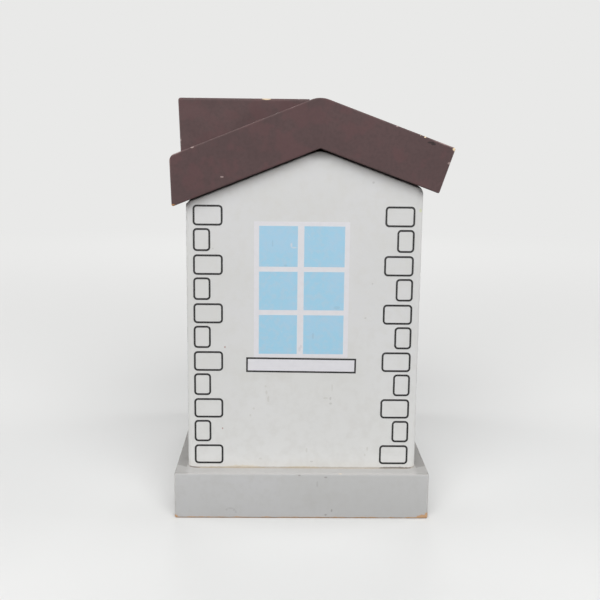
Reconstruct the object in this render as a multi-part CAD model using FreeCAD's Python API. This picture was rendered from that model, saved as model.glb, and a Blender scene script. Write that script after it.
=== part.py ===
import FreeCAD, Part
import math
import os

from FreeCAD import Placement, Rotation, Vector

# House-shaped wooden money box. Sizes are in millimetres and angles in degrees.
# X runs along the printed gable to its right, Y goes from it to the rear gable, and Z goes up.
# The origin is on the floor, under the middle of the base slab.

# House walls
HOUSE_WIDTH = 79.2
HOUSE_DEPTH = 112.0
WALL_THICK = 6.0
WALL_CORNER_ROUND = 3.0  # upright outer corners
WALL_SHOULDER_ROUND = 4.0  # where a side turns in under the eaves
WALL_PEAK_ROUND = 16.0
WALL_TOP_CHAMFER = 0.8  # on the gables' sloping outer edges

# Base slab, which stands out past the walls
BASE_THICK = 16.3
BASE_SIDE_LEDGE = 4.2
BASE_END_LEDGE = 5.25
BASE_EDGE_ROUND = 0.7  # upright and upper edges
BASE_FOOT_ROUND = 0.5

# Roof, whose ridge stands off the middle of the house
RIDGE_HEIGHT = 143.2
RIDGE_X = 4.5
LEFT_PITCH = 21.85
RIGHT_PITCH = 20.0
ROOF_THICK = 15.6
GABLE_OVERHANG = 3.0
LEFT_EAVE_OVERHANG = 4.15
RIGHT_EAVE_OVERHANG = 4.4
LEFT_END_LEAN = 2.2
RIGHT_END_LEAN = 18.5
RIDGE_ROUND = 8.5
LEFT_EAVE_ROUND = 2.4  # the left end is rubbed rounder on top than the right one
RIGHT_EAVE_ROUND = 0.6
EAVE_FOOT_ROUND = 0.55
ROOF_ARRIS_ROUND = 0.45

# Coin slot, straight down through the dormer block and the left roof board
SLOT_LENGTH = 36.0
SLOT_WIDTH = 5.0
SLOT_MOUTH_ROUND = 0.7

# Dormer block on the left roof board, level with the ridge on top
DORMER_SLOT_MARGIN = 5.5  # from each end of the slot to the block's cheek
DORMER_TIP = 1.0  # height left on its thin edge, beside the ridge
DORMER_ARRIS_ROUND = 0.9
TIP_ROUND_SHARE = 0.9  # most of the tip's height that the arris may take

# Glue blocks in the lower inside corners, and the screws that come up into them
BLOCK_SIDE = 12.0
BLOCK_HEIGHT = 30.0
SCREW_DIA = 3.5
SCREW_LENGTH = 32.0
SCREW_HEAD_DIA = 7.0
SCREW_POINT = 5.0
SCREW_SINK = 0.4  # depth of the head under the slab's face
SCREW_CROSS_LENGTH = 4.2
SCREW_CROSS_WIDTH = 0.9
SCREW_CROSS_DEPTH = 1.4
SCREW_CLEARANCE = 0.2  # all round the shank in the slab
SCREW_BITE = 0.05  # all round the shank in the block, and round the head

# Panel pins, set under the surface and filled over
PIN_DIA = 1.25
PIN_HEAD_DIA = 2.0
PIN_HEAD_THICK = 0.6
PIN_POINT = 2.0
PIN_SET = 1.0
PIN_FIT = 0.05
ROOF_PIN_LENGTH = 24.0
ROOF_PIN_FROM_RIDGE = 14.0
ROOF_PIN_FROM_EAVE = 9.0  # in from the wall's outer face
WALL_PIN_LENGTH = 20.0
WALL_PIN_FROM_END = 14.0  # first and last pin, from the slab and from the lower eave
WALL_PINS_PER_CORNER = 3

# Coin outlet in the slab, and its rubber stopper
OUTLET_DIA = 34.0
OUTLET_LEDGE = 5.0  # width of the step that the stopper's flange seats on
OUTLET_RECESS_DEPTH = 6.0
OUTLET_TOP_ROUND = 0.8
STOPPER_FIT = 0.1  # all round the plug in the outlet
STOPPER_RIM_GAP = 0.5  # all round the flange in its recess
STOPPER_FLANGE_THICK = 3.0
STOPPER_PLUG_LENGTH = 5.0
STOPPER_LEAD_IN = 0.9
STOPPER_WALL = 3.4
STOPPER_WEB = 1.4  # rubber left over the flange inside the plug
STOPPER_EDGE_ROUND = 0.8
GRIP_LENGTH = 28.0
GRIP_WIDTH = 5.0
GRIP_FLOOR_GAP = 0.8
GRIP_EDGE_ROUND = 0.7

# How far a cutting shape runs past the face that it cuts, and what counts as no distance
PAST = 1.0
SAME_PLACE = 1e-6

# Places that follow from the sizes
half_house_x = HOUSE_WIDTH / 2
half_house_y = HOUSE_DEPTH / 2
half_base_x = half_house_x + BASE_SIDE_LEDGE
half_base_y = half_house_y + BASE_END_LEDGE
inside_x = half_house_x - WALL_THICK
inside_y = half_house_y - WALL_THICK
roof_end_y = half_house_y + GABLE_OVERHANG
dormer_end_y = SLOT_LENGTH / 2 + DORMER_SLOT_MARGIN
screw_x = inside_x - BLOCK_SIDE / 2
screw_y = inside_y - BLOCK_SIDE / 2

# Directions up out of each slope's top face, and down along it
left_slope = math.radians(LEFT_PITCH)
right_slope = math.radians(RIGHT_PITCH)
left_up = Vector(-math.sin(left_slope), 0, math.cos(left_slope))
right_up = Vector(math.sin(right_slope), 0, math.cos(right_slope))
left_down = Vector(-math.cos(left_slope), 0, -math.sin(left_slope))
right_down = Vector(math.cos(right_slope), 0, -math.sin(right_slope))

# The mitre runs from the peak of the roof's underside up to its sharp ridge line.
ridge = Vector(RIDGE_X, 0, RIDGE_HEIGHT)
mitre = left_up + right_up
mitre = mitre * (ROOF_THICK / mitre.dot(left_up))
peak = ridge - mitre
mitre_side = Vector(mitre.z, 0, -mitre.x).normalize()


def on_slope(start, down, x):
    """Point of the sloping line through start that lies at x."""
    return start + down * ((x - start.x) / down.x)


def end_cut(foot, lean, up):
    """Top point of a roof board's sawn end, which rises from foot by lean in X for each unit of Z."""
    rise = Vector(lean, 0, 1)
    return foot + rise * (ROOF_THICK / rise.dot(up))


left_lean = -math.tan(math.radians(LEFT_END_LEAN))
right_lean = math.tan(math.radians(RIGHT_END_LEAN))
left_eave = on_slope(peak, left_down, -half_house_x)
right_eave = on_slope(peak, right_down, half_house_x)
left_foot = on_slope(peak, left_down, -half_house_x - LEFT_EAVE_OVERHANG)
right_foot = on_slope(peak, right_down, half_house_x + RIGHT_EAVE_OVERHANG)
left_head = end_cut(left_foot, left_lean, left_up)
right_head = end_cut(right_foot, right_lean, right_up)

# The dormer's left face carries on the plane of the roof's left end.
dormer_left_x = left_head.x + left_lean * (RIDGE_HEIGHT - left_head.z)
dormer_tip_x = RIDGE_X - DORMER_TIP / math.tan(left_slope)
slot_x = (dormer_left_x + dormer_tip_x) / 2


# Shapes that several pieces use

def rounded_prism(corners, along):
    """Solid that carries a flat outline along a vector. A corner is a point and its rounding's radius."""
    bends = []
    for i, (corner, radius) in enumerate(corners):
        to_last = (corners[i - 1][0] - corner).normalize()
        to_next = (corners[(i + 1) % len(corners)][0] - corner).normalize()
        half_angle = to_last.getAngle(to_next) / 2
        inward = (to_last + to_next).normalize()
        setback = radius / math.tan(half_angle)
        sagitta = radius / math.sin(half_angle) - radius
        bends.append((corner + to_last * setback, corner + inward * sagitta, corner + to_next * setback))
    edges = []
    for i, (start, middle, end) in enumerate(bends):
        last_end = bends[i - 1][2]
        if last_end.distanceToPoint(start) > SAME_PLACE:
            edges.append(Part.makeLine(last_end, start))
        if corners[i][1] > 0:
            edges.append(Part.Arc(start, middle, end).toShape())
    return Part.Face(Part.Wire(edges)).extrude(along)


def deep_prism(corners, y_from, y_to):
    """Solid with an outline in the gables' plane, from one depth to another."""
    shift = Vector(0, y_from, 0)
    return rounded_prism([(point + shift, radius) for point, radius in corners], Vector(0, y_to - y_from, 0))


def plan_prism(x, half_x, half_y, radius, z_from, z_to):
    """Upright bar with a rounded rectangle for its plan, centred on x and the middle of the depth."""
    signs = ((-1, -1), (1, -1), (1, 1), (-1, 1))
    corners = [(Vector(x + sx * half_x, sy * half_y, z_from), radius) for sx, sy in signs]
    return rounded_prism(corners, Vector(0, 0, z_to - z_from))


def box(x_ends, y_ends, z_ends):
    """Plain box between two values, in either order, on each axis."""
    low = Vector(min(x_ends), min(y_ends), min(z_ends))
    high = Vector(max(x_ends), max(y_ends), max(z_ends))
    size = high - low
    return Part.makeBox(size.x, size.y, size.z, low)


def rod(x, y, z_from, z_to, diameter):
    """Upright cylinder."""
    return Part.makeCylinder(diameter / 2, z_to - z_from, Vector(x, y, z_from))


def turned(profile):
    """Solid turned about the Z axis from (radius, height) points that start and end on the axis."""
    points = [Vector(radius, 0, height) for radius, height in profile]
    return Part.Face(Part.makePolygon(points + points[:1])).revolve(Vector(), Vector(0, 0, 1), 360)


def edges_where(shape, test):
    """Edges of a shape whose middle passes a test."""
    return [edge for edge in shape.Edges if test(edge.CenterOfMass)]


# House walls, cut from one outline so that they meet

house_corners = [
    (Vector(-half_house_x, 0, BASE_THICK), 0),
    (left_eave, WALL_SHOULDER_ROUND),
    (peak, WALL_PEAK_ROUND),
    (right_eave, WALL_SHOULDER_ROUND),
    (Vector(half_house_x, 0, BASE_THICK), 0),
]


def top_edge_cut(eave, up, side):
    """Prism that takes the arris off a gable's sloping outer edge, at the front (-1) or rear (1)."""
    along = (peak - eave).normalize()
    out = Vector(0, side, 0)
    start = eave + out * half_house_y - along * PAST
    reach = WALL_TOP_CHAMFER + PAST
    corners = [
        (start + up * PAST + out * PAST, 0),
        (start - up * reach + out * PAST, 0),
        (start + up * PAST - out * reach, 0),
    ]
    return rounded_prism(corners, along * (peak.distanceToPoint(eave) + 2 * PAST))


def gable_wall(side):
    """Gable at the front (-1) or rear (1), over the ends of the side walls."""
    plan = plan_prism(0, half_house_x, half_house_y, WALL_CORNER_ROUND, BASE_THICK, RIDGE_HEIGHT)
    depths = sorted((side * inside_y, side * half_house_y))
    wall = deep_prism(house_corners, *depths).common(plan)
    return wall.cut([top_edge_cut(left_eave, left_up, side), top_edge_cut(right_eave, right_up, side)])


def side_wall(side):
    """Left (-1) or right (1) wall between the gables, bevelled on top to meet its roof board."""
    keep = box((side * inside_x, side * half_house_x), (-inside_y, inside_y), (BASE_THICK, RIDGE_HEIGHT))
    return deep_prism(house_corners, -inside_y, inside_y).common(keep)


# Roof boards and dormer block

def roof_board(side):
    """Left (-1) or right (1) board, mitred at the ridge, with the arrises of its ends rounded."""
    corners = [
        (peak, 0),
        (left_foot, EAVE_FOOT_ROUND),
        (left_head, LEFT_EAVE_ROUND),
        (ridge, RIDGE_ROUND),
        (right_head, RIGHT_EAVE_ROUND),
        (right_foot, EAVE_FOOT_ROUND),
    ]
    roof = deep_prism(corners, -roof_end_y, roof_end_y)
    low, high = peak - mitre * (peak.z / mitre.z), ridge + mitre
    far = mitre_side * (side * 2 * half_base_x)
    half = [(point, 0) for point in (low, high, high + far, low + far)]
    board = roof.common(deep_prism(half, -roof_end_y - PAST, roof_end_y + PAST))

    def is_end_arris(middle):
        at_end = abs(middle.y) > roof_end_y - SAME_PLACE
        return at_end and abs((middle - peak).dot(mitre_side)) > SAME_PLACE

    return board.makeFillet(ROOF_ARRIS_ROUND, edges_where(board, is_end_arris))


def coin_slot():
    """Bar that cuts the slot, from above the dormer to below the roof."""
    ends = (left_foot.z - PAST, RIDGE_HEIGHT + PAST)
    return plan_prism(slot_x, SLOT_WIDTH / 2, SLOT_LENGTH / 2, SLOT_WIDTH / 2, *ends)


def dormer_block():
    """Wedge on the left roof board with a flat top, a flush left face and the coin slot's mouth."""
    points = [
        left_head,
        Vector(dormer_left_x, 0, RIDGE_HEIGHT),
        Vector(dormer_tip_x, 0, RIDGE_HEIGHT),
        on_slope(ridge, left_down, dormer_tip_x),
    ]
    wedge = deep_prism([(point, 0) for point in points], -dormer_end_y, dormer_end_y)

    def off_seat_and_tip(middle):
        return (middle - ridge).dot(left_up) > SAME_PLACE and middle.x < dormer_tip_x - SAME_PLACE

    arris = min(DORMER_ARRIS_ROUND, TIP_ROUND_SHARE * DORMER_TIP)
    wedge = wedge.makeFillet(arris, edges_where(wedge, off_seat_and_tip))
    wedge = wedge.cut(coin_slot())

    def at_slot_mouth(middle):
        in_slot = abs(middle.x - slot_x) < SLOT_WIDTH and abs(middle.y) < SLOT_LENGTH / 2 + SAME_PLACE
        return in_slot and middle.z > RIDGE_HEIGHT - SAME_PLACE

    return wedge.makeFillet(SLOT_MOUTH_ROUND, edges_where(wedge, at_slot_mouth))


# Screws and pins, each made pointing down with its head's face at the origin

def screw():
    """Countersunk wood screw with a cross recess."""
    head, shank = SCREW_HEAD_DIA / 2, SCREW_DIA / 2
    body = turned([
        (0, 0),
        (head, 0),
        (shank, shank - head),
        (shank, SCREW_POINT - SCREW_LENGTH),
        (0, -SCREW_LENGTH),
    ])
    length = (-SCREW_CROSS_LENGTH / 2, SCREW_CROSS_LENGTH / 2)
    width = (-SCREW_CROSS_WIDTH / 2, SCREW_CROSS_WIDTH / 2)
    depth = (-SCREW_CROSS_DEPTH, PAST)
    return body.cut([box(length, width, depth), box(width, length, depth)])


def screw_hole():
    """What the slab loses to a screw: the sink over its head, the countersink and the clearance hole."""
    head, shank = SCREW_HEAD_DIA / 2 + SCREW_BITE, SCREW_DIA / 2 + SCREW_CLEARANCE
    return turned([
        (0, SCREW_SINK + PAST),
        (head, SCREW_SINK + PAST),
        (head, 0),
        (shank, shank - head),
        (shank, -BASE_THICK - PAST),
        (0, -BASE_THICK - PAST),
    ])


def pin(length, room):
    """Panel pin, or with room added all round, the hole that it sits in."""
    head, shank = PIN_HEAD_DIA / 2 + room, PIN_DIA / 2 + room
    return turned([
        (0, room),
        (head, room),
        (head, -PIN_HEAD_THICK - room),
        (shank, -PIN_HEAD_THICK - room),
        (shank, PIN_POINT - length),
        (0, -length - room),
    ])


def screw_places():
    """Places and direction of the base screws, whose heads sit in the slab's underside."""
    signs = [(sx, sy) for sx in (-1, 1) for sy in (-1, 1)]
    return [(Vector(sx * screw_x, sy * screw_y, SCREW_SINK), Vector(0, 0, 1)) for sx, sy in signs]


def roof_pin_places(down, up, eave):
    """Places and direction of one roof board's pins: two over each gable."""
    runs = (ROOF_PIN_FROM_RIDGE, peak.distanceToPoint(eave) - ROOF_PIN_FROM_EAVE)
    heads = [ridge + down * run - up * PIN_SET for run in runs]
    depth = Vector(0, inside_y + WALL_THICK / 2, 0)
    return [(head + depth * side, up * -1) for head in heads for side in (-1, 1)]


def wall_pin_places(side):
    """Places and direction of the front (-1) or rear (1) gable's pins into the side walls' ends."""
    lowest = BASE_THICK + WALL_PIN_FROM_END
    highest = min(left_eave.z, right_eave.z) - WALL_PIN_FROM_END
    step = (highest - lowest) / (WALL_PINS_PER_CORNER - 1)
    heights = [lowest + step * i for i in range(WALL_PINS_PER_CORNER)]
    x, y = inside_x + WALL_THICK / 2, side * (half_house_y - PIN_SET)
    return [(Vector(sx * x, y, z), Vector(0, -side, 0)) for sx in (-1, 1) for z in heights]


def set_at(shape, places):
    """Copies of a shape that was made pointing down, one at each place and along its direction."""
    copies = []
    for place, direction in places:
        copy = shape.copy()
        copy.Placement = Placement(place, Rotation(Vector(0, 0, -1), direction))
        copies.append(copy)
    return copies


# Base slab, glue blocks and outlet stopper

def base_slab():
    """Slab with rounded edges, screw holes and the stepped coin outlet."""
    slab = box((-half_base_x, half_base_x), (-half_base_y, half_base_y), (0, BASE_THICK))
    slab = slab.makeFillet(BASE_EDGE_ROUND, edges_where(slab, lambda m: m.z > SAME_PLACE))
    slab = slab.makeFillet(BASE_FOOT_ROUND, edges_where(slab, lambda m: m.z < SAME_PLACE))
    bore = rod(0, 0, -PAST, BASE_THICK + PAST, OUTLET_DIA)
    recess = rod(0, 0, -PAST, OUTLET_RECESS_DEPTH, OUTLET_DIA + 2 * OUTLET_LEDGE)
    slab = slab.cut([bore, recess])

    def at_outlet_top(middle):
        return middle.z > BASE_THICK - SAME_PLACE and math.hypot(middle.x, middle.y) < OUTLET_DIA / 2

    slab = slab.makeFillet(OUTLET_TOP_ROUND, edges_where(slab, at_outlet_top))
    return slab.cut(set_at(screw_hole(), screw_places()))


def corner_block(side_x, side_y):
    """Glue block against two walls and the slab, with its screw's pilot hole."""
    x_ends = (side_x * inside_x, side_x * (inside_x - BLOCK_SIDE))
    y_ends = (side_y * inside_y, side_y * (inside_y - BLOCK_SIDE))
    glue_block = box(x_ends, y_ends, (BASE_THICK, BASE_THICK + BLOCK_HEIGHT))
    pilot_ends = (BASE_THICK - PAST, SCREW_SINK + SCREW_LENGTH + SCREW_BITE)
    pilot = rod(side_x * screw_x, side_y * screw_y, *pilot_ends, SCREW_DIA + 2 * SCREW_BITE)
    return glue_block.cut(pilot)


def outlet_stopper():
    """Rubber stopper: a flange in the recess, a hollow plug in the outlet and a grip bar underneath."""
    flange_dia = OUTLET_DIA + 2 * (OUTLET_LEDGE - STOPPER_RIM_GAP)
    plug_dia = OUTLET_DIA - 2 * STOPPER_FIT
    seat = OUTLET_RECESS_DEPTH
    under = seat - STOPPER_FLANGE_THICK
    top = seat + STOPPER_PLUG_LENGTH
    flange = rod(0, 0, under, seat, flange_dia)
    flange = flange.makeFillet(STOPPER_EDGE_ROUND, edges_where(flange, lambda m: m.z < under + SAME_PLACE))
    plug = rod(0, 0, seat, top, plug_dia)
    plug = plug.makeChamfer(STOPPER_LEAD_IN, edges_where(plug, lambda m: m.z > top - SAME_PLACE))
    hollow = rod(0, 0, seat + STOPPER_WEB, top + PAST, plug_dia - 2 * STOPPER_WALL)
    grip = plan_prism(0, GRIP_LENGTH / 2, GRIP_WIDTH / 2, GRIP_WIDTH / 2, GRIP_FLOOR_GAP, under)
    grip_foot = edges_where(grip, lambda m: m.z < GRIP_FLOOR_GAP + SAME_PLACE)
    grip = grip.makeFillet(GRIP_EDGE_ROUND, grip_foot)
    return flange.fuse([plug, grip]).cut(hollow).removeSplitter()


# The pieces by name, with a hole wherever a pin passes

left_roof_places = roof_pin_places(left_down, left_up, left_eave)
right_roof_places = roof_pin_places(right_down, right_up, right_eave)
roof_places = left_roof_places + right_roof_places
wall_places = wall_pin_places(-1) + wall_pin_places(1)
roof_pin_holes = set_at(pin(ROOF_PIN_LENGTH, PIN_FIT), roof_places)
wall_pin_holes = set_at(pin(WALL_PIN_LENGTH, PIN_FIT), wall_places)

pieces = {
    "base_slab": base_slab(),
    "front_gable_wall": gable_wall(-1).cut(wall_pin_holes + roof_pin_holes),
    "rear_gable_wall": gable_wall(1).cut(wall_pin_holes + roof_pin_holes),
    "left_side_wall": side_wall(-1).cut(wall_pin_holes),
    "right_side_wall": side_wall(1).cut(wall_pin_holes),
    "left_roof_board": roof_board(-1).cut([coin_slot()] + roof_pin_holes),
    "right_roof_board": roof_board(1).cut(roof_pin_holes),
    "dormer_block": dormer_block(),
    "corner_block_front_left": corner_block(-1, -1),
    "corner_block_front_right": corner_block(1, -1),
    "corner_block_rear_left": corner_block(-1, 1),
    "corner_block_rear_right": corner_block(1, 1),
    "base_screws": Part.makeCompound(set_at(screw(), screw_places())),
    "roof_pins": Part.makeCompound(set_at(pin(ROOF_PIN_LENGTH, 0), roof_places)),
    "wall_pins": Part.makeCompound(set_at(pin(WALL_PIN_LENGTH, 0), wall_places)),
    "outlet_stopper": outlet_stopper(),
}

os.makedirs("parts", exist_ok=True)
for name, shape in pieces.items():
    shape.exportStep(f"parts/{name}.step")
    state = "valid" if shape.isValid() else "not valid"
    print(f"{name}: {len(shape.Solids)} solids, {shape.Volume:.1f} mm3, {state}")
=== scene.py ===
import math

import bmesh
import bpy
from mathutils import Matrix, Vector


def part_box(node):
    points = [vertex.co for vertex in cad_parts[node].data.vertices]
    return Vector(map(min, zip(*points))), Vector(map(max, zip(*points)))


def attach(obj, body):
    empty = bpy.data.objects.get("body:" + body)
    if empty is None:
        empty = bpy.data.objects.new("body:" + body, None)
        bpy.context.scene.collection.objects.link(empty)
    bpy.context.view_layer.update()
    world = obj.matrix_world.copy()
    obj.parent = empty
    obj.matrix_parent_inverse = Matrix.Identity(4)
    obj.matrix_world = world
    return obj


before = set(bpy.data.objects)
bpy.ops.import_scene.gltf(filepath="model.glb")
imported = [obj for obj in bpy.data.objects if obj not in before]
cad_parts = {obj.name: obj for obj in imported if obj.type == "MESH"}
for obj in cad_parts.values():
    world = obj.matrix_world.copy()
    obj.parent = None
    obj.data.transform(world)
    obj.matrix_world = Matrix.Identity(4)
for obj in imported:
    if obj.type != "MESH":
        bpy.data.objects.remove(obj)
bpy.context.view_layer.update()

# Finish and printed walls of a house-shaped wooden money box.
# Sizes are in millimetres of the model's own frame, and each new mesh is scaled to metres as it is placed.
MM = 0.001


def box_of(node):
    """Lowest and highest corner of a CAD node, in millimetres."""
    low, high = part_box(node)
    return low / MM, high / MM


# Places read from the frame
slab_high = box_of("base_slab")[1]
rear_low, rear_high = box_of("rear_gable_wall")
right_wall_low = box_of("right_side_wall")[0]
roof_high = box_of("left_roof_board")[1]
dormer_low, dormer_high = box_of("dormer_block")
half_house_x = rear_high.x
half_house_y = rear_high.y
inside_x = right_wall_low.x
inside_y = rear_low.y
slot_x = (dormer_low.x + dormer_high.x) / 2

# Roof planes, which the boxes don't give
RIDGE_X = 4.5
LEFT_PITCH = math.radians(21.85)
RIGHT_PITCH = math.radians(20.0)
ROOF_THICK = 15.6
LEFT_EAVE_OVERHANG = 4.15
RIGHT_EAVE_OVERHANG = 4.4
LEFT_END_LEAN = math.radians(2.2)
RIGHT_END_LEAN = math.radians(18.5)

# Coin slot in the dormer, with the rubbed rim round it, and the stopper's recess under the slab
SLOT_HALF_WIDTH = 2.5
SLOT_HALF_LENGTH = 18.0
SLOT_RIM = 0.6
SLOT_RIM_WEAR = 2.5
RECESS_RADIUS = 22.0

# Where paint ends: depth down the slot, depth into the walls and distance outside the recess
SLOT_PAINT_END = (1.0, 2.5)
WALL_PAINT_END = (3.3, 4.3)
RECESS_PAINT_END = (2.0, 0.5)

# Printed quoins: ink line centres, from the wall's edges and from the floor
QUOIN_COURSES = 11
QUOIN_TOP = 107.35
QUOIN_WIDTHS = (9.3, 5.16)
QUOIN_HEIGHTS = (6.26, 7.06)
QUOIN_GAPS = (1.51, 1.745)
GABLE_QUOIN_MARGINS = (2.76, 3.1)
SIDE_QUOIN_MARGINS = (3.7, 3.7)
QUOIN_ROUND = 1.0
QUOIN_LINE = 0.64

# Printed windows: sides of the panes from the window's middle, and their heights from the floor
GABLE_PANES_X = ((-15.09, -2.18), (-0.03, 13.56))
SIDE_PANES_X = ((-9.4, -1.05), (1.05, 9.4))
PANES_Z = ((87.15, 100.83), (72.38, 85.46), (57.17, 70.64))
WINDOW_FRAME_SIDES = (1.7, 1.63)
WINDOW_FRAME_HEAD = 1.46
WINDOW_FRAME_FOOT = 1.17
SILL_OVERHANGS = (4.0, 4.3)
SILL_Z = (50.88, 55.47)
SILL_LINE = 0.58
FRONT_SILL_TURN = math.radians(-0.43)
RIGHT_WINDOWS = (-22.0, 22.0)
LEFT_WINDOWS = (-28.0, 28.0)

# Printed door on the left wall
DOOR_HALF_WIDTH = 10.5
DOOR_FRAME = 1.9
DOOR_FOOT = 21.2
DOOR_HEAD = 78.0
DOOR_PANELS_X = ((-8.3, -1.1), (1.1, 8.3))
DOOR_PANELS_Z = ((24.5, 37.0), (39.2, 51.7))
DOOR_LIGHTS_Z = ((54.4, 64.2), (66.0, 75.6))
DOOR_LINE = 0.35
DOOR_STEP = (-15.0, 16.6, 15.0, 20.4)
KNOB = (-9.9, 47.0, -8.7, 48.2)
KNOB_ROUND = 0.55

# Ink layers: how deep each is sunk in the paint, how far it stands out, and the steps of a round corner
INK_SUNK = 0.08
GROUND_INK = 0.03
FILL_INK = 0.045
LINE_INK = 0.06
CORNER_SEGMENTS = 6

# Reach along X, Y and Z of the painted shade under the roof's peak, which runs through both gables
PEAK_SHADE = (8.0, 1000.0, 5.0)

# Worn places, and places of painted highlight and painted shadow, seen from the front: the middle of each,
# and its reach along X, Y and Z
ROOF_CHIPS = (
    ((48.8, -59.0, 126.7), (1.1, 1.2, 0.8)),
    ((38.8, -59.0, 130.5), (0.42, 0.7, 0.3)),
)
ROOF_FLECKS = (
    ((-27.2, -59.0, 117.0), (0.6, 0.6, 0.3)),
    ((-36.9, -59.0, 126.5), (0.7, 0.8, 0.4)),
    ((29.6, -59.0, 133.9), (0.5, 0.8, 0.35)),
    ((47.1, -59.0, 122.1), (0.8, 0.9, 0.5)),
)
ROOF_BARE = (
    ((-43.4, -59.0, 107.5), (1.3, 1.6, 0.6)),
    ((49.0, -59.0, 126.4), (0.5, 0.8, 0.4)),
)
# Stronger rubbed wear and painted highlight on the roof's arrises near its ends
ROOF_RUBBED_HIGHLIGHTS = (
    ((46.0, -59.0, 128.0), (5.0, 3.0, 4.0)),
    ((-43.5, -59.0, 122.5), (6.0, 3.0, 4.0)),
)
ROOF_SCUFFS = (
    ((40.6, -59.0, 128.8), (1.3, 0.8, 0.35)),
    ((41.6, -59.0, 128.3), (0.9, 0.8, 0.5)),
)
DORMER_CHIPS = (
    ((-13.4, -23.5, 143.2), (2.1, 1.0, 0.55)),
)
DORMER_FLECKS = (
    ((-44.6, -23.5, 128.2), (0.7, 0.9, 0.6)),
)
WALL_SPECKS = (
    ((22.6, -56.0, 115.5), (0.45, 0.5, 0.4)),
    ((9.7, -56.0, 39.7), (0.6, 0.5, 0.4)),
    ((9.6, -56.0, 41.5), (0.4, 0.5, 0.7)),
    ((21.0, -56.0, 69.8), (0.4, 0.5, 0.3)),
    ((23.1, -56.0, 81.6), (0.35, 0.5, 0.3)),
    ((-30.5, -56.0, 93.1), (0.3, 0.5, 0.3)),
    ((3.4, -56.0, 18.7), (0.6, 0.5, 0.35)),
)
WALL_STREAKS = (
    ((-12.7, -56.0, 45.7), (0.4, 0.5, 0.4)),
    ((-12.4, -56.0, 43.5), (0.4, 0.5, 0.9)),
    ((-11.8, -56.0, 41.2), (0.45, 0.5, 1.2)),
    ((-14.4, -56.0, 19.7), (0.6, 0.5, 0.4)),
    ((-16.8, -56.0, 37.8), (0.4, 0.5, 0.4)),
    ((-17.9, -56.0, 35.3), (0.4, 0.5, 0.5)),
    ((1.6, -56.0, 22.8), (0.4, 0.5, 1.0)),
    ((7.9, -56.0, 41.6), (0.9, 0.5, 0.4)),
    ((10.1, -56.0, 45.4), (0.25, 0.5, 1.6)),
    ((21.9, -56.0, 21.2), (0.4, 0.5, 0.6)),
    ((22.7, -56.0, 23.4), (0.4, 0.5, 0.9)),
)
WALL_RUST_DOTS = (
    ((-27.5, -56.0, 30.6), (0.3, 0.5, 0.4)),
    ((-26.6, -56.0, 59.4), (0.3, 0.5, 0.4)),
)
WALL_SMEAR = (
    ((38.7, -55.8, 106.3), (0.7, 1.5, 0.8)),
)
WALL_GLUE = (
    ((-20.5, -56.0, 16.0), (9.0, 2.0, 1.6)),
    ((-30.0, -56.0, 16.0), (6.0, 2.0, 0.9)),
    ((0.0, -56.0, 16.0), (9.0, 2.0, 1.2)),
)
# Painted shadow where the walls' foot stands clear of the slab
WALL_GAP_SHADOW = (
    ((32.5, -56.0, 16.3), (7.0, 2.0, 0.7)),
    ((-37.6, -56.0, 16.3), (2.8, 2.0, 0.45)),
)
PANE_SCRATCHES = (
    ((-3.4, -56.0, 93.6), (1.2, 0.6, 0.3)),
    ((-4.3, -56.0, 94.4), (0.4, 0.6, 0.8)),
)
PANE_DIRT = (
    ((3.3, -56.0, 63.4), (0.4, 0.6, 1.2)),
    ((-6.2, -56.0, 87.6), (0.7, 0.6, 0.4)),
    ((-10.6, -56.0, 95.0), (0.3, 0.6, 1.3)),
    ((11.2, -56.0, 73.3), (1.2, 0.6, 0.6)),
)
FRAME_DIRT = (
    ((-1.2, -56.0, 58.8), (0.5, 0.6, 0.9)),
    ((-0.8, -56.0, 59.8), (0.4, 0.6, 0.7)),
)
BASE_SPECKS = (
    ((8.2, -61.25, 14.9), (0.6, 0.6, 0.3)),
    ((10.4, -61.25, 2.8), (0.35, 0.5, 0.6)),
    ((8.4, -61.25, 1.3), (0.45, 0.5, 0.4)),
    ((-0.9, -61.25, 15.6), (0.5, 0.6, 0.3)),
)
BASE_SCRATCHES = (
    ((5.3, -61.25, 12.4), (0.35, 0.5, 1.3)),
    ((-24.6, -61.25, 3.6), (1.3, 0.5, 0.3)),
    ((-25.9, -61.25, 3.1), (0.5, 0.5, 0.4)),
    ((-23.3, -61.25, 3.0), (0.5, 0.5, 0.5)),
    ((-22.7, -61.25, 2.3), (0.35, 0.5, 0.6)),
)
BASE_BARE = (
    ((-43.6, -61.1, 0.4), (1.2, 1.2, 0.9)),
    ((42.1, -61.2, 0.4), (2.4, 0.9, 1.3)),
    ((43.5, -61.1, 0.9), (1.1, 1.2, 1.5)),
)

# Camera and stage
CAMERA_PLACE = Vector((-7.263, -369.16, 132.97))
CAMERA_DOWN = math.radians(10.332)
CAMERA_RIGHT = math.radians(1.100)
CAMERA_ROLL = math.radians(0.650)
CAMERA_LENS = 56.62
SENSOR_WIDTH = 36.0
NEAREST_SEEN = 10.0
FLOOR_RADIUS = 20000.0
FLOOR_SEGMENTS = 96
FLOOR_BLEND = (250.0, 900.0)
FLOOR_TONE = (224, 224, 223)
BACKDROP_TONE = (233, 233, 232)
BOUNCE_TONE = (122, 122, 122)
SURROUND_TONE = (255, 255, 255)
SURROUND_LIGHT = 0.22

# Soft square lights: name, place, size and watts
STUDIO_LIGHTS = (
    ("main_light", (0, -1150, 1000), 1700, 29.0),
    ("left_light", (-1400, 200, 350), 700, 8.0),
    ("right_light", (1400, 200, 350), 700, 8.0),
    ("rear_light", (0, 1450, 350), 700, 14.0),
)


def colour(red, green, blue):
    """Shader colour from screen values of 0 to 255."""
    def linear(value):
        share = value / 255
        return share / 12.92 if share <= 0.04045 else ((share + 0.055) / 1.055) ** 2.4
    return (linear(red), linear(green), linear(blue), 1.0)


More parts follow.
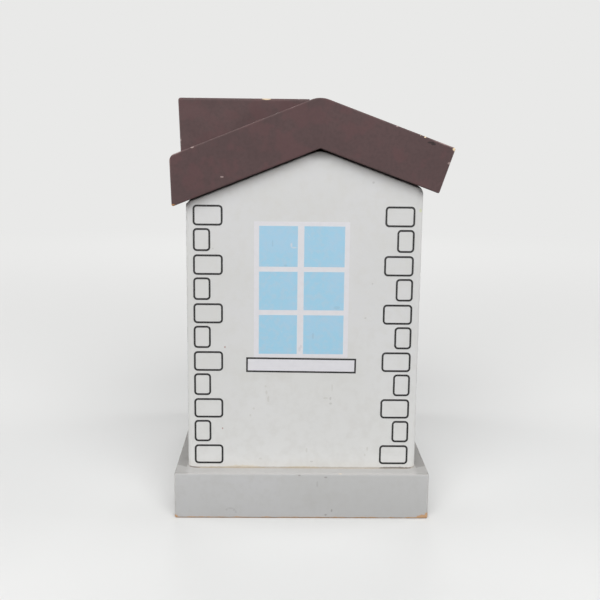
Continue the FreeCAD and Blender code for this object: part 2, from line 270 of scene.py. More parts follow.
# Colours that several finishes share
BOARD = colour(190, 142, 98)
BOARD_DARK = colour(156, 110, 72)
WORN_EDGE = colour(198, 152, 106)
GROUND_COAT = colour(228, 206, 172)
OLD_GLUE = colour(208, 191, 156)
# Colour of the dark line of painted shadow under the roof
CREVICE_SHADOW = colour(34, 26, 24)


class Value:
    """Output of a node. A sum on it adds a Math node to the same tree."""

    def __init__(self, maker, socket):
        self.maker = maker
        self.socket = socket

    def __add__(self, other):
        return self.maker.maths("ADD", self, other)

    def __radd__(self, other):
        return self.maker.maths("ADD", other, self)

    def __sub__(self, other):
        return self.maker.maths("SUBTRACT", self, other)

    def __rsub__(self, other):
        return self.maker.maths("SUBTRACT", other, self)

    def __mul__(self, other):
        return self.maker.maths("MULTIPLY", self, other)

    def __rmul__(self, other):
        return self.maker.maths("MULTIPLY", other, self)

    def __abs__(self):
        return self.maker.maths("ABSOLUTE", self)

    def least(self, other):
        return self.maker.maths("MINIMUM", self, other)

    def most(self, other):
        return self.maker.maths("MAXIMUM", self, other)


class NodeMaker:
    """Fills an empty node tree."""

    def __init__(self, tree):
        self.tree = tree
        self.tree.nodes.clear()

    def node(self, kind, settings=None, inputs=None, output=0):
        """Adds any node: its settings first, then the values or links of its sockets."""
        made = self.tree.nodes.new(kind)
        for name, setting in (settings or {}).items():
            setattr(made, name, setting)
        for name, value in (inputs or {}).items():
            if isinstance(value, Value):
                self.tree.links.new(value.socket, made.inputs[name])
            else:
                made.inputs[name].default_value = value
        return Value(self, made.outputs[output]) if len(made.outputs) else None

    def maths(self, operation, first, second=0.0):
        return self.node("ShaderNodeMath", {"operation": operation}, {0: first, 1: second})

    def seen(self):
        """1 where the camera, a gloss or glass looks at the stage, and 0 where the stage gives light."""
        camera, gloss, glass = (
            self.node("ShaderNodeLightPath", output=ray)
            for ray in ("Is Camera Ray", "Is Glossy Ray", "Is Transmission Ray")
        )
        return camera.most(gloss).most(glass)


class Finish(NodeMaker):
    """Node material in the making. Its place and x, y and z are the surface's own, in millimetres."""

    def __init__(self, name):
        self.material = bpy.data.materials.new(name)
        self.material.use_nodes = True
        super().__init__(self.material.node_tree)
        in_metres = self.node("ShaderNodeTexCoord", output="Object")
        self.place = self.vector("MULTIPLY", in_metres, (1 / MM, 1 / MM, 1 / MM))
        self.x, self.y, self.z = (
            self.node("ShaderNodeSeparateXYZ", inputs={"Vector": self.place}, output=axis)
            for axis in "XYZ"
        )

    def vector(self, operation, first, second, output="Vector"):
        return self.node("ShaderNodeVectorMath", {"operation": operation}, {0: first, 1: second}, output)

    def mix(self, share, first, second):
        """Colour that goes from the first to the second as share goes from 0 to 1."""
        return self.node("ShaderNodeMix", {"data_type": "RGBA"}, {0: share, 6: first, 7: second}, output=2)

    def ease(self, value, start, end):
        """Smooth step from 0 where value is at start to 1 where it is at end."""
        ends = {"Value": value, "From Min": start, "From Max": end}
        return self.node("ShaderNodeMapRange", {"interpolation_type": "SMOOTHSTEP"}, ends)

    def noise(self, scale, detail=2.0, stretch=(1, 1, 1)):
        """Cloudy value about 0.5 with features of about 1/scale mm, longer where the stretch is less."""
        place = self.vector("MULTIPLY", self.place, stretch)
        return self.node("ShaderNodeTexNoise", inputs={"Vector": place, "Scale": scale, "Detail": detail})

    def specks(self, spacing, size, share):
        """Mask of small round spots, in a share of the cells of that spacing."""
        inputs = {"Vector": self.place, "Scale": 1 / spacing}
        away = self.node("ShaderNodeTexVoronoi", inputs=inputs, output="Distance")
        tint = self.node("ShaderNodeTexVoronoi", inputs=inputs, output="Color")
        pick = self.node("ShaderNodeSeparateColor", inputs={"Color": tint}, output="Red")
        return self.ease(away * spacing, size, size / 2) * self.ease(pick, 1 - share, 1.01 - share)

    def length(self, vector):
        return self.vector("LENGTH", vector, (0, 0, 0), output="Value")

    def reaches_from(self, middle, reach):
        """Distance from middle, counted in reaches along X, Y and Z."""
        return self.length(self.vector("DIVIDE", self.vector("SUBTRACT", self.place, middle), reach))

    def from_axis(self):
        """Distance from the upright line through the origin."""
        return self.length(self.vector("MULTIPLY", self.place, (1, 1, 0)))

    def marks(self, places):
        """Mask of worn places with ragged edges."""
        ragged = (self.noise(1.3, 3) - 0.5) * 0.7
        mask = None
        for middle, reach in places:
            mark = self.ease(self.reaches_from(middle, reach) + ragged, 1.0, 0.7)
            mask = mark if mask is None else mask.most(mark)
        return mask

    def depth(self, normal, point):
        """Depth of the surface under a plane that goes through point and faces along normal."""
        return normal.dot(point) - self.vector("DOT_PRODUCT", self.place, normal, output="Value")

    def within(self, value, middle, half, soft=0.3):
        """Mask that is 1 while value lies within half of middle."""
        return self.ease(abs(value - middle), half + soft, half)

    def shaft(self, middle_x, half_x, half_y):
        """Mask of an upright shaft, rectangular in plan, about that X and Y 0."""
        return self.within(self.x, middle_x, half_x) * self.within(self.y, 0, half_y)

    def clouded(self, scale, first, second):
        """Two colours that drift into each other in patches of about 1/scale mm."""
        return self.mix(self.ease(self.noise(scale, 3), 0.35, 0.65), first, second)

    def board(self):
        """Colour of bare fibre board with its short fibres and darker flecks."""
        fibres = self.noise(0.9, 4, (1, 1, 0.3))
        clouds = self.noise(0.12, 3)
        return self.mix(self.ease(fibres + clouds * 0.6, 0.55, 1.05), BOARD_DARK, BOARD)

    def surface(self, base, roughness, height, relief, **constants):
        """Ends the finish with its shader. Relief is the bump's real height in millimetres."""
        bump = {"Height": height, "Distance": relief * MM}
        normal = self.node("ShaderNodeBump", inputs=bump, output="Normal")
        varied = {"Base Color": base, "Roughness": roughness, "Normal": normal}
        shader = self.node("ShaderNodeBsdfPrincipled", inputs={**varied, **constants})
        self.node("ShaderNodeOutputMaterial", inputs={"Surface": shader})
        return self.material


def second_least(first, second, third):
    """Middle one of three depths, which on a box's surface is the distance to the nearest edge."""
    return first.least(second).most(first.most(second).least(third))


# The roof's top planes go through its sharp ridge line, and its end planes through the eaves' lower corners.
ridge = Vector((RIDGE_X, 0, dormer_high.z))
left_up = Vector((-math.sin(LEFT_PITCH), 0, math.cos(LEFT_PITCH)))
right_up = Vector((math.sin(RIGHT_PITCH), 0, math.cos(RIGHT_PITCH)))
left_out = Vector((-math.cos(LEFT_END_LEAN), 0, -math.sin(LEFT_END_LEAN)))
right_out = Vector((math.cos(RIGHT_END_LEAN), 0, -math.sin(RIGHT_END_LEAN)))


def eave_foot(up, x):
    """Point of the roof's underside at x, on the slope that faces along up."""
    return Vector((x, 0, (up.dot(ridge) - ROOF_THICK - up.x * x) / up.z))


left_foot = eave_foot(left_up, -half_house_x - LEFT_EAVE_OVERHANG)
right_foot = eave_foot(right_up, half_house_x + RIGHT_EAVE_OVERHANG)
bisector = left_up + right_up
peak = ridge - bisector * (ROOF_THICK / bisector.dot(left_up))


# Finishes of the CAD pieces

def depth_in_roof(finish):
    """Depth of the surface under the roof's two top planes."""
    return finish.depth(left_up, ridge).least(finish.depth(right_up, ridge))


def white_coat(finish, above_slab):
    """Colour of the walls' white paint: clouded, lighter low down as painted light, and smudged."""
    paint = finish.clouded(0.03, colour(210, 210, 210), colour(207, 207, 205))
    # Painted light: lighter paint low on the wall, standing in for light.
    painted_light_low = finish.ease(above_slab + finish.noise(0.05, 3) * 30, 80, 8)
    paint = finish.mix(painted_light_low * 0.8, paint, colour(218, 218, 216))
    mottle = finish.ease(finish.noise(0.35, 3), 0.4, 0.75)
    paint = finish.mix(mottle * 0.5, paint, colour(206, 205, 202))
    smudges = finish.ease(finish.noise(0.08, 5, (0.6, 0.6, 1)), 0.6, 0.75)
    return finish.mix(smudges * 0.3, paint, colour(197, 195, 188))


def wall_wear(finish, paint, corner, fine):
    """Streaks, rubbed corners, specks, rust dots and a smear on the walls' paint."""
    paint = finish.mix(finish.marks(WALL_STREAKS) * 0.28, paint, colour(177, 174, 164))
    rubbed = finish.ease(corner + fine, 1.6, 0.5)
    paint = finish.mix(rubbed * 0.45, paint, colour(205, 198, 183))
    specks = finish.specks(spacing=13, size=0.3, share=0.35).most(finish.marks(WALL_SPECKS))
    paint = finish.mix(specks * 0.25, paint, colour(128, 123, 118))
    paint = finish.mix(finish.marks(WALL_RUST_DOTS) * 0.6, paint, colour(150, 92, 80))
    return finish.mix(finish.marks(WALL_SMEAR) * 0.5, paint, colour(196, 204, 136))


def wall_foot(finish, paint, above_slab, fine):
    """Darker paint just above the slab, the dark joint between the walls and the slab, and painted shadow
    under the walls' foot where it stands clear.
    """
    # A little darker towards the slab.
    paint = finish.mix(finish.ease(above_slab + fine * 1.5, 5.0, 0.8) * 0.2, paint, colour(178, 170, 156))
    joint = finish.ease(above_slab + fine * 0.4, 0.85, 0.45)
    paint = finish.mix(joint * 0.45, paint, colour(122, 104, 84))
    # Painted shadow in gaps under the walls' foot.
    return finish.mix(finish.marks(WALL_GAP_SHADOW) * 0.7, paint, colour(92, 84, 80))


def wall_head(finish, paint, fine):
    """Painted shade on the walls under the roof, deepest under its peak, and a dark line of painted shadow
    along the roof's underside.
    """
    under_roof = depth_in_roof(finish) - ROOF_THICK
    # Soft painted shade that stands in for the roof's shadow on the wall.
    painted_shade = finish.ease(under_roof + fine * 1.2, 5.0, 0.4)
    paint = finish.mix(painted_shade * 0.34, paint, colour(116, 108, 102))
    # Deeper painted shade under the roof's peak.
    painted_peak_shade = finish.ease(finish.reaches_from(peak, PEAK_SHADE), 1.0, 0.15)
    paint = finish.mix(painted_peak_shade * 0.7, paint, colour(70, 62, 58))
    # Dark line of painted shadow where the wall meets the roof's underside.
    crevice_shadow = finish.ease(under_roof + fine * 0.4, 1.0, 0.55)
    return finish.mix(crevice_shadow * 0.92, paint, CREVICE_SHADOW)


def wall_paint():
    """White satin paint with chipped corners, glue along its foot and bare inner faces."""
    finish = Finish("wall_paint")
    side_depth = half_house_x - abs(finish.x)
    end_depth = half_house_y - abs(finish.y)
    corner = side_depth.most(end_depth)
    above_slab = finish.z - slab_high.z
    fine = finish.noise(0.5, 4)
    paint = wall_wear(finish, white_coat(finish, above_slab), corner, fine)
    chipped = finish.ease(fine - corner * 0.2, 0.64, 0.67)
    paint = finish.mix(chipped, paint, GROUND_COAT)
    glue_line = finish.ease(above_slab + finish.noise(0.09, 3) * 1.6, 1.2, 0.6)
    glue = (glue_line * 0.25).most(finish.marks(WALL_GLUE) * 0.45)
    paint = finish.mix(glue, paint, OLD_GLUE)
    paint = wall_head(finish, wall_foot(finish, paint, above_slab, fine), fine)
    seam = finish.within(abs(finish.y), inside_y, half=0.1, soft=0.12) * finish.ease(fine, 0.4, 0.55)
    paint = finish.mix(seam * 0.5, paint, colour(128, 120, 110))
    inner = finish.ease(side_depth.least(end_depth), *WALL_PAINT_END)
    paint = finish.mix(inner, paint, finish.board())
    roughness = 0.4 + finish.noise(0.2, 3) * 0.2 + inner * 0.3
    height = finish.noise(1.4, 2) * 0.4 + finish.noise(0.25, 2) - chipped * 0.8 - glue * 0.3 - seam
    return finish.surface(paint, roughness, height, relief=0.035, **{"Specular IOR Level": 0.4})


def brown_paint(finish, edge, hard_rubbed_highlight, chips, flecks):
    """Dull brown paint with rubbed arrises that also carry a painted highlight, pale flecks and chips down
    to a cream ground coat.
    """
    stipple = finish.noise(0.9, 4)
    ragged = finish.noise(0.45, 5)
    paint = finish.clouded(0.045, colour(79, 62, 62), colour(85, 66, 66))
    paint = finish.mix(finish.ease(stipple, 0.4, 0.7) * 0.5, paint, colour(73, 58, 58))
    reddish = finish.ease(finish.noise(0.16, 5), 0.48, 0.62)
    paint = finish.mix(reddish * 0.5, paint, colour(92, 65, 66))
    # Lighter arrises: partly rubbed wear, partly a painted highlight where the rounded edges catch light.
    rubbed = finish.ease(edge + ragged * 0.6, 0.8, 0.35)
    paint = finish.mix(rubbed * (hard_rubbed_highlight * 0.75 + 0.13), paint, colour(150, 127, 124))
    paint = finish.mix(flecks * 0.75, paint, colour(166, 147, 143))
    chipped = finish.ease(ragged - edge * 0.25, 0.665, 0.685).most(chips)
    paint = finish.mix(chipped, paint, GROUND_COAT)
    roughness = 0.5 + finish.noise(0.3, 3) * 0.16
    height = stipple * 0.5 + finish.noise(0.2, 2) - chipped * 1.2
    return paint, roughness, height


def brown_surface(finish, paint, roughness, height, bare):
    """Ends a brown finish, with bare board where the paint is missing."""
    paint = finish.mix(bare, paint, finish.board())
    dull = {"Specular IOR Level": 0.22}
    return finish.surface(paint, roughness + bare * 0.25, height - bare, relief=0.04, **dull)


def in_slot(finish):
    """Mask of the coin slot's unpainted inside."""
    under_rim = finish.ease(dormer_high.z - finish.z, *SLOT_PAINT_END)
    return finish.shaft(slot_x, SLOT_HALF_WIDTH, SLOT_HALF_LENGTH) * under_rim


def roof_paint():
    """Brown paint on both roof boards, with bare board over the coin chamber."""
    finish = Finish("roof_paint")
    under_top = depth_in_roof(finish)
    over_foot = ROOF_THICK - under_top
    end_depth = roof_high.y - abs(finish.y)
    eave_depth = finish.depth(left_out, left_foot).least(finish.depth(right_out, right_foot))
    edge = second_least(under_top.least(over_foot), end_depth, eave_depth)
    hard_rubbed_highlight = finish.marks(ROOF_RUBBED_HIGHLIGHTS)
    chips, flecks = finish.marks(ROOF_CHIPS), finish.marks(ROOF_FLECKS)
    paint, roughness, height = brown_paint(finish, edge, hard_rubbed_highlight, chips, flecks)
    paint = finish.mix(finish.marks(ROOF_SCUFFS) * 0.9, paint, colour(44, 35, 35))
    over_chamber = finish.shaft(0, inside_x, inside_y) * finish.ease(over_foot, 0.6, 0.3)
    inside = over_chamber.most(in_slot(finish))
    return brown_surface(finish, paint, roughness, height, inside.most(finish.marks(ROOF_BARE)))


def dormer_paint():
    """Brown paint on the dormer block, lightened a little as painted light, bare inside its coin slot."""
    finish = Finish("dormer_paint")
    top_depth = dormer_high.z - finish.z
    cheek_depth = dormer_high.y - abs(finish.y)
    edge = second_least(top_depth, cheek_depth, finish.depth(left_out, left_foot))
    rim = finish.shaft(slot_x, SLOT_HALF_WIDTH + SLOT_RIM, SLOT_HALF_LENGTH + SLOT_RIM)
    edge = edge - rim * SLOT_RIM_WEAR
    chips, flecks = finish.marks(DORMER_CHIPS), finish.marks(DORMER_FLECKS)
    paint, roughness, height = brown_paint(finish, edge, flecks, chips, flecks)
    # Painted light: a faint pale wash that lifts the set-back dormer out of its shade.
    painted_light_lift = finish.ease(finish.noise(0.06, 4), 0.35, 0.65)
    paint = finish.mix(painted_light_lift * 0.07, paint, colour(142, 124, 122))
    return brown_surface(finish, paint, roughness, height, in_slot(finish))


def grey_coat(finish):
    """Colour of the slab's light grey paint: clouded, smudged, and darker low down as painted shade."""
    paint = finish.clouded(0.04, colour(195, 195, 195), colour(191, 191, 190))
    mottle = finish.ease(finish.noise(0.5, 3), 0.4, 0.75)
    paint = finish.mix(mottle * 0.5, paint, colour(187, 186, 184))
    smudges = finish.ease(finish.noise(0.1, 5, (0.5, 0.5, 1)), 0.58, 0.75)
    paint = finish.mix(smudges * 0.3, paint, colour(176, 174, 170))
    # Painted shade: darker towards the slab's foot.
    low_down_shade = 1 - finish.z * (1 / slab_high.z)
    return finish.mix(low_down_shade * 0.4, paint, colour(173, 173, 172))


def slab_ledge(finish, paint, on_top, ragged):
    """Painted shade on the slab's top beside the house, and glue along the gables' foot."""
    beside = abs(finish.x) - half_house_x
    before = abs(finish.y) - half_house_y
    # Painted shade on the side ledges, behind the gables' face and near the walls.
    side_ledge_shade = finish.ease(beside, 0.0, 0.6) * finish.ease(before + beside * 0.6 + ragged, 1.5, -0.5)
    corner_ledge_shade = finish.ease(beside, -1.5, 1.0)
    painted_shade = (side_ledge_shade * 0.8).most(corner_ledge_shade * 0.42) * on_top
    paint = finish.mix(painted_shade, paint, colour(126, 124, 121))
    glue = finish.ease(before - finish.noise(0.11, 3) * 0.8, 0.1, -0.3) * finish.ease(beside, -1.5, -4.0)
    return finish.mix(glue * on_top * 0.4, paint, OLD_GLUE)


def base_paint():
    """Light grey satin paint, worn to bare board along the slab's lower edges and under it."""
    finish = Finish("base_paint")
    side_depth = slab_high.x - abs(finish.x)
    end_depth = slab_high.y - abs(finish.y)
    top_depth = slab_high.z - finish.z
    edge = second_least(side_depth, end_depth, finish.z.least(top_depth))
    on_top = finish.ease(top_depth, 0.5, 0.1)
    ragged = finish.noise(0.45, 5)
    rubbed = finish.ease(edge + ragged * 0.8, 1.3, 0.4)
    paint = finish.mix(rubbed * 0.25, grey_coat(finish), colour(193, 188, 181))
    specks = finish.specks(spacing=11, size=0.3, share=0.4).most(finish.marks(BASE_SPECKS))
    paint = finish.mix(specks * 0.5, paint, colour(130, 124, 120))
    paint = finish.mix(finish.marks(BASE_SCRATCHES) * 0.22, paint, colour(132, 128, 126))
    paint = finish.mix(on_top * 0.5, paint, colour(180, 177, 174))
    # Painted shade that darkens the slab's top arris against the highlight its rounding catches.
    upper_arris_shade = finish.ease(edge + ragged * 0.2, 0.8, 0.3) * finish.ease(top_depth, 0.9, 0.5)
    paint = finish.mix(upper_arris_shade * 0.6, paint, colour(176, 174, 172))
    paint = slab_ledge(finish, paint, on_top, ragged)
    chipped = finish.ease(ragged - edge * 0.25, 0.66, 0.68)
    paint = finish.mix(chipped, paint, GROUND_COAT)
    foot_worn = finish.ease(finish.z + ragged * 0.8, 0.98, 0.7).most(finish.marks(BASE_BARE))
    paint = finish.mix(foot_worn * 0.85, paint, WORN_EDGE)
    recess = finish.ease(finish.from_axis() - RECESS_RADIUS, *RECESS_PAINT_END)
    chamber = finish.shaft(0, inside_x, inside_y)
    bare = finish.ease(finish.z, 0.12, 0.03).most(recess).most(chamber)
    paint = finish.mix(bare, paint, finish.board())
    roughness = 0.58 + finish.noise(0.25, 3) * 0.2 + bare * 0.2
    height = finish.noise(1.2, 2) * 0.4 + finish.noise(0.22, 2) - chipped * 0.8 - specks * 0.5
    return finish.surface(paint, roughness, height, relief=0.04, **{"Specular IOR Level": 0.15})


def sawn_wood():
    """Bare softwood of the glue blocks, with upright grain and saw marks."""
    finish = Finish("sawn_wood")
    grain = finish.noise(0.8, 4, (1, 1, 0.06))
    rings = finish.noise(0.25, 2, (1, 1, 0.04))
    wood = finish.mix(finish.ease(rings, 0.35, 0.65), colour(214, 178, 128), colour(190, 146, 96))
    wood = finish.mix(finish.ease(grain, 0.5, 0.75) * 0.6, wood, colour(158, 114, 70))
    saw = finish.noise(1.6, 1, (0.05, 0.05, 1))
    return finish.surface(wood, 0.7 + grain * 0.2, grain + saw * 0.6, relief=0.06)


def zinc_plate():
    """Zinc plated steel of the screws and pins, dulled in patches."""
    finish = Finish("zinc_plate")
    patches = finish.noise(0.7, 4)
    metal = finish.mix(finish.ease(patches, 0.4, 0.65), colour(205, 205, 202), colour(176, 174, 162))
    dull = finish.ease(finish.noise(0.35, 5), 0.55, 0.7)
    metal = finish.mix(dull * 0.5, metal, colour(138, 128, 112))
    roughness = 0.3 + patches * 0.2 + dull * 0.25
    return finish.surface(metal, roughness, finish.noise(3, 2), relief=0.015, Metallic=1.0)


def moulded_rubber():
    """Black rubber of the stopper, with a matt moulded skin and patches of dust."""
    finish = Finish("moulded_rubber")
    dust = finish.ease(finish.noise(0.22, 5), 0.5, 0.75)
    skin = finish.noise(1.8, 3)
    rubber = finish.mix(finish.ease(skin, 0.35, 0.7), colour(34, 34, 35), colour(44, 43, 43))
    rubber = finish.mix(dust * 0.5, rubber, colour(84, 80, 75))
    return finish.surface(rubber, 0.6 + dust * 0.25, skin, relief=0.03)


# Inks of the printed walls

def printed(name, ink, thin, worn, show_through, scratches=None, dirt=None):
    """Ink that thins in small patches and is rubbed through to the paint in a few spots."""
    finish = Finish(name)
    patches = finish.ease(finish.noise(0.5, 4), 0.4, 0.7)
    inked = finish.mix(patches, ink, thin)
    inked = finish.mix(finish.ease(finish.noise(0.1, 3), 0.45, 0.7) * 0.5, inked, worn)
    if dirt:
        inked = finish.mix(finish.marks(dirt) * 0.14, inked, colour(120, 122, 132))
    rubbed = finish.ease(finish.noise(1.1, 5), 0.71, 0.75) * show_through
    if scratches:
        rubbed = rubbed.most(finish.marks(scratches) * 0.6)
    inked = finish.mix(rubbed, inked, colour(210, 210, 216))
    roughness = 0.4 + finish.noise(0.3, 3) * 0.2
    height = finish.noise(1.4, 2) * 0.4 + finish.noise(0.25, 2)
    return finish.surface(inked, roughness, height, relief=0.03)


line_ink = printed(
    "line_ink", colour(13, 11, 12), colour(24, 22, 24), colour(19, 17, 18), show_through=0.3,
)
pane_ink = printed(
    "pane_ink", colour(154, 199, 222), colour(165, 198, 218), colour(165, 199, 222), show_through=0.35,
    scratches=PANE_SCRATCHES, dirt=PANE_DIRT,
)
frame_ink = printed(
    "frame_ink", colour(217, 216, 220), colour(214, 213, 217), colour(216, 214, 216), show_through=0.2,
    dirt=FRAME_DIRT,
)
door_ink = printed(
    "door_ink", colour(95, 77, 77), colour(90, 73, 73), colour(99, 80, 80), show_through=0.4,
)
knob_ink = printed(
    "knob_ink", colour(214, 190, 120), colour(204, 178, 110), colour(196, 172, 108), show_through=0.2,
)


def wall_plane(origin, across, out):
    """Matrix from a wall's own plane, in millimetres across, up and out, to the model in metres."""
    turn = Matrix((across, Vector((0, 0, 1)), out)).transposed().to_4x4()
    return Matrix.Scale(MM, 4) @ Matrix.Translation(origin) @ turn


def print_on(wall, name, ink, layer, rectangles, corner=0.0, line=None):
    """Thin printed piece on a wall: filled rectangles, or their outlines where a line's width is given."""
    plate = bmesh.new()
    grow = line / 2 if line else 0.0
    for left, bottom, right, top in rectangles:
        middle = Matrix.Translation(((left + right) / 2, (bottom + top) / 2, -INK_SUNK))
        size = Matrix.Diagonal((right - left + 2 * grow, top - bottom + 2 * grow, 1, 1))
        bmesh.ops.create_grid(plate, x_segments=1, y_segments=1, size=0.5, matrix=middle @ size)
    if corner:
        bmesh.ops.bevel(
            plate, geom=plate.verts[:], offset=corner + grow, offset_type="OFFSET", affect="VERTICES",
            segments=CORNER_SEGMENTS, profile=0.5, material=-1,
        )
    if line:
        fills = plate.faces[:]
        bmesh.ops.inset_individual(plate, faces=fills, thickness=line, use_even_offset=True)
        bmesh.ops.delete(plate, geom=fills, context="FACES")
    raised = bmesh.ops.extrude_face_region(plate, geom=plate.faces[:])
    top_corners = [part for part in raised["geom"] if isinstance(part, bmesh.types.BMVert)]
    bmesh.ops.translate(plate, verts=top_corners, vec=(0, 0, layer + INK_SUNK))
    bmesh.ops.transform(plate, matrix=wall, verts=plate.verts[:])
    bmesh.ops.recalc_face_normals(plate, faces=plate.faces[:])
    mesh = bpy.data.meshes.new(name)
    plate.to_mesh(mesh)
    plate.free()
    mesh.materials.append(ink)
    piece = bpy.data.objects.new(name, mesh)
    bpy.context.scene.collection.objects.link(piece)
    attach(piece, "house")


def turned(wall, angle, height):
    """A wall's plane, turned in itself about a point at that height on its middle line."""
    middle = Vector((0, height, 0))
    return wall @ Matrix.Translation(middle) @ Matrix.Rotation(angle, 4, "Z") @ Matrix.Translation(-middle)


def quoins(half_width, margins, widths):
    """Outlines of a wall's two columns of quoins, from the top course down."""
    left, right = margins[0] - half_width, half_width - margins[1]
    stones, top = [], QUOIN_TOP
    for course in range(QUOIN_COURSES):
        kind = course % 2
        bottom = top - QUOIN_HEIGHTS[kind]
        stones.append((left, bottom, left + widths[kind], top))
        stones.append((right - widths[kind], bottom, right, top))
        top = bottom - QUOIN_GAPS[kind]
    return stones


def panes(middles, columns, rows):
    """Rectangles of every pane of a wall's windows."""
    return [
        (middle + left, bottom, middle + right, top)
        for middle in middles
        for left, right in columns
        for bottom, top in rows
    ]


def surround(middles, columns, sides, bottom, top):
    """Rectangle round each window, from its outer panes out by the left and right sides' widths."""
    left, right = columns[0][0] - sides[0], columns[-1][1] + sides[1]
    return [(middle + left, bottom, middle + right, top) for middle in middles]


def print_windows(wall, name, middles, columns, sill_turn):
    """Windows of one wall: pale frames, light blue panes and outlined sills."""
    foot, head = PANES_Z[-1][0] - WINDOW_FRAME_FOOT, PANES_Z[0][1] + WINDOW_FRAME_HEAD
    frames = surround(middles, columns, WINDOW_FRAME_SIDES, foot, head)
    print_on(wall, f"{name}_window_frames", frame_ink, GROUND_INK, frames)
    print_on(wall, f"{name}_window_panes", pane_ink, FILL_INK, panes(middles, columns, PANES_Z))
    sills = surround(middles, columns, SILL_OVERHANGS, *SILL_Z)
    sill_plane = turned(wall, sill_turn, sum(SILL_Z) / 2)
    print_on(sill_plane, f"{name}_sills", frame_ink, FILL_INK, sills)
    print_on(sill_plane, f"{name}_sill_lines", line_ink, LINE_INK, sills, line=SILL_LINE)


def print_door(wall):
    """Brown panelled door of the left wall, with four lights, a knob, a pale frame and a step."""
    leaf = (-DOOR_HALF_WIDTH, DOOR_FOOT, DOOR_HALF_WIDTH, DOOR_HEAD)
    around = (leaf[0] - DOOR_FRAME, DOOR_FOOT, leaf[2] + DOOR_FRAME, DOOR_HEAD + DOOR_FRAME)
    print_on(wall, "door_frame", frame_ink, GROUND_INK, [around, DOOR_STEP])
    print_on(wall, "door_leaf", door_ink, FILL_INK, [leaf])
    print_on(wall, "door_lights", pane_ink, LINE_INK, panes((0,), DOOR_PANELS_X, DOOR_LIGHTS_Z))
    outlines = panes((0,), DOOR_PANELS_X, DOOR_PANELS_Z + DOOR_LIGHTS_Z)
    print_on(wall, "door_lines", line_ink, LINE_INK + GROUND_INK, outlines + [DOOR_STEP], line=DOOR_LINE)
    print_on(wall, "door_knob", knob_ink, LINE_INK, [KNOB], corner=KNOB_ROUND)


def print_walls():
    """Quoins, windows and door on the four walls."""
    side_widths = QUOIN_WIDTHS[::-1]
    front = wall_plane(Vector((0, -half_house_y, 0)), Vector((1, 0, 0)), Vector((0, -1, 0)))
    rear = wall_plane(Vector((0, half_house_y, 0)), Vector((-1, 0, 0)), Vector((0, 1, 0)))
    right = wall_plane(Vector((half_house_x, 0, 0)), Vector((0, 1, 0)), Vector((1, 0, 0)))
    left = wall_plane(Vector((-half_house_x, 0, 0)), Vector((0, -1, 0)), Vector((-1, 0, 0)))
    for wall, name, middles, columns, sill_turn in (
        (front, "front", (0,), GABLE_PANES_X, FRONT_SILL_TURN),
        (rear, "rear", (0,), GABLE_PANES_X, 0.0),
        (right, "right", RIGHT_WINDOWS, GABLE_PANES_X, 0.0),
        (left, "left", LEFT_WINDOWS, SIDE_PANES_X, 0.0),
    ):
        print_windows(wall, name, middles, columns, sill_turn)
    gable_stones = quoins(half_house_x, GABLE_QUOIN_MARGINS, QUOIN_WIDTHS)
    side_stones = quoins(half_house_y, SIDE_QUOIN_MARGINS, side_widths)
    for wall, name, stones in (
        (front, "front", gable_stones),
        (rear, "rear", gable_stones),
        (right, "right", side_stones),
        (left, "left", side_stones),
    ):
        print_on(wall, f"{name}_quoins", line_ink, LINE_INK, stones, QUOIN_ROUND, QUOIN_LINE)
    print_door(left)


def paint_nodes():
    """Gives every CAD node its finish."""
    wall, roof, wood, zinc = wall_paint(), roof_paint(), sawn_wood(), zinc_plate()
    finishes = {
        "base_slab": base_paint(),
        "dormer_block": dormer_paint(),
        "outlet_stopper": moulded_rubber(),
    }
    for name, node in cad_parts.items():
        if name.endswith("_wall"):
            finish = wall
        elif name.endswith("_roof_board"):
            finish = roof
        elif name.startswith("corner_block"):
            finish = wood
        elif name.endswith(("_screws", "_pins")):
            finish = zinc
        else:
            finish = finishes[name]
        for place in node.material_slots:
            place.material = finish


# Stage, light and camera

def floor_finish():
    """Pale floor that keeps the object's shadow near it and runs into the backdrop's tone far away."""
    finish = Finish("pale_floor")
    seen = finish.seen()
    tone = finish.mix(seen, colour(*BOUNCE_TONE), colour(*FLOOR_TONE))
    lit = finish.node("ShaderNodeBsdfDiffuse", inputs={"Color": tone})
    glow = finish.node("ShaderNodeEmission", inputs={"Color": colour(*BACKDROP_TONE)})
    far = finish.ease(finish.from_axis(), *FLOOR_BLEND) * seen
    mixed = finish.node("ShaderNodeMixShader", inputs={0: far, 1: lit, 2: glow})
    finish.node("ShaderNodeOutputMaterial", inputs={"Surface": mixed})
    return finish.material


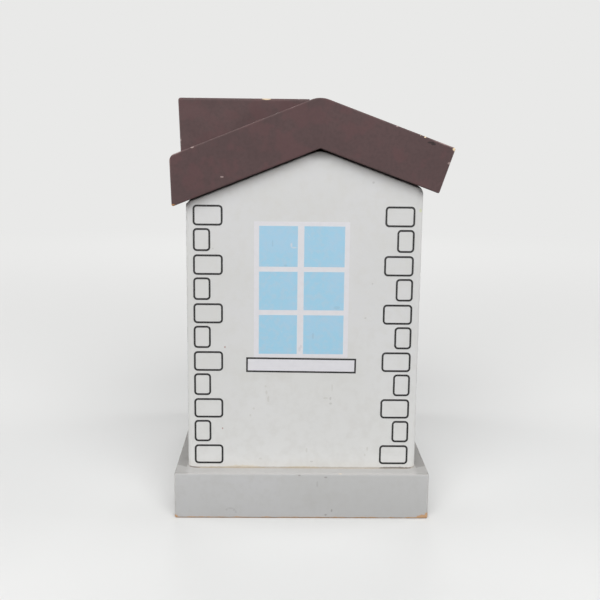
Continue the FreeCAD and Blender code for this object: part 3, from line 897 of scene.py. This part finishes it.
def make_stage():
    """Round pale floor, wide enough to reach the horizon."""
    disc = bmesh.new()
    bmesh.ops.create_circle(disc, cap_ends=True, segments=FLOOR_SEGMENTS, radius=FLOOR_RADIUS * MM)
    mesh = bpy.data.meshes.new("stage_floor")
    disc.to_mesh(mesh)
    disc.free()
    mesh.materials.append(floor_finish())
    floor = bpy.data.objects.new("stage_floor", mesh)
    bpy.context.scene.collection.objects.link(floor)


def add_light(name, place, size, watts):
    """Square soft light that faces the middle of the house."""
    light = bpy.data.lights.new(name, "AREA")
    light.size = size * MM
    light.energy = watts
    lamp = bpy.data.objects.new(name, light)
    lamp.location = Vector(place) * MM
    aim = Vector((0, 0, dormer_high.z / 2)) * MM - lamp.location
    lamp.rotation_euler = aim.to_track_quat("-Z", "Y").to_euler()
    lamp.visible_camera = False
    bpy.context.scene.collection.objects.link(lamp)


def light_stage():
    """One large soft light high in front, weak ones at the sides and rear, and an even surround."""
    for light in STUDIO_LIGHTS:
        add_light(*light)
    world = bpy.data.worlds.new("studio")
    world.use_nodes = True
    sky = NodeMaker(world.node_tree)
    surround_light = {"Color": colour(*SURROUND_TONE), "Strength": SURROUND_LIGHT}
    lighting = sky.node("ShaderNodeBackground", inputs=surround_light)
    shown = sky.node("ShaderNodeBackground", inputs={"Color": colour(*BACKDROP_TONE), "Strength": 1.0})
    mixed = sky.node("ShaderNodeMixShader", inputs={0: sky.seen(), 1: lighting, 2: shown})
    sky.node("ShaderNodeOutputWorld", inputs={"Surface": mixed})
    bpy.context.scene.world = world


def place_camera():
    """Camera at the photograph's distance, height and tilt."""
    camera = bpy.data.cameras.new("front_camera")
    camera.lens = CAMERA_LENS
    camera.sensor_width = SENSOR_WIDTH
    camera.clip_start = NEAREST_SEEN * MM
    holder = bpy.data.objects.new("front_camera", camera)
    turn = Matrix.Rotation(-CAMERA_RIGHT, 4, "Z")
    tilt = Matrix.Rotation(math.pi / 2 - CAMERA_DOWN, 4, "X")
    roll = Matrix.Rotation(CAMERA_ROLL, 4, "Z")
    holder.matrix_world = Matrix.Translation(CAMERA_PLACE * MM) @ turn @ tilt @ roll
    bpy.context.scene.collection.objects.link(holder)
    bpy.context.scene.camera = holder


paint_nodes()
print_walls()
make_stage()
light_stage()
place_camera()
bpy.context.scene.view_settings.view_transform = "Standard"
